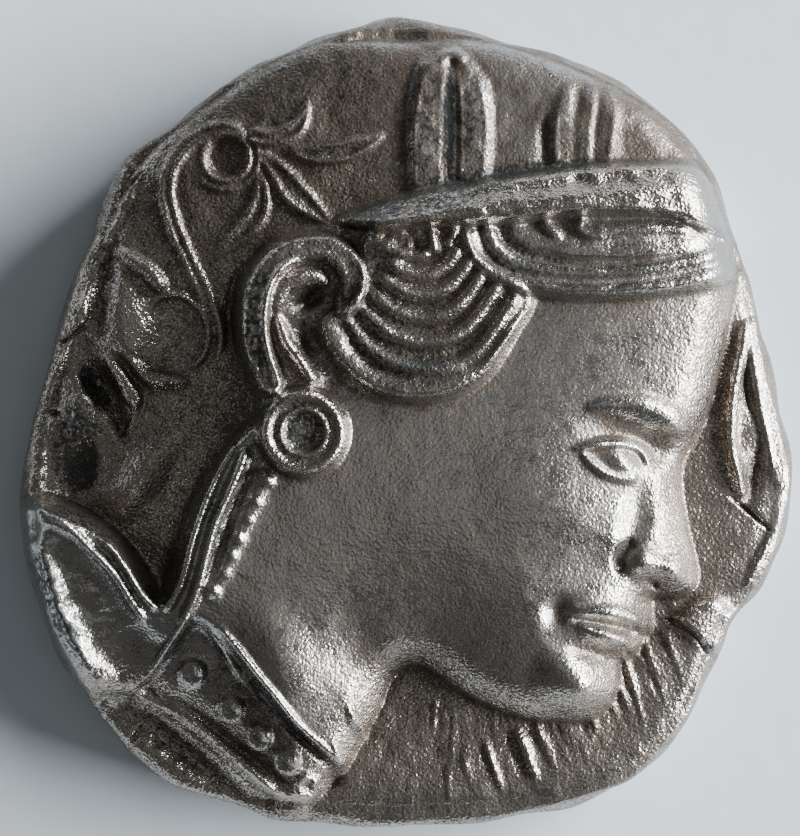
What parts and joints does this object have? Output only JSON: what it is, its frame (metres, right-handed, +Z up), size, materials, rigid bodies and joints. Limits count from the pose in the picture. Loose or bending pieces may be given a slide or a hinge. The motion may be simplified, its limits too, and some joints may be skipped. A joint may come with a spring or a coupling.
{
  "type": "tetradrachm coin",
  "caption": "Thick hand-struck silver coin with a helmeted head in high relief, a shallow sunk square with an owl below, and a worn irregular edge.",
  "frame": {"origin": "middle of the coin's box at the level of the underside's flat border", "axes": "+Z up through the struck head, the thickness of the coin; +Y towards the top of the helmet, the coin's longest side; +X the way the head looks"},
  "size_m": [0.024, 0.0252, 0.006],
  "materials": {
    "silver": "struck silver, worn bright on the high places, grainy and toned grey-brown in the hollows"
  },
  "bodies": {
    "root": {"coin": "silver"}
  },
  "joints": []
}
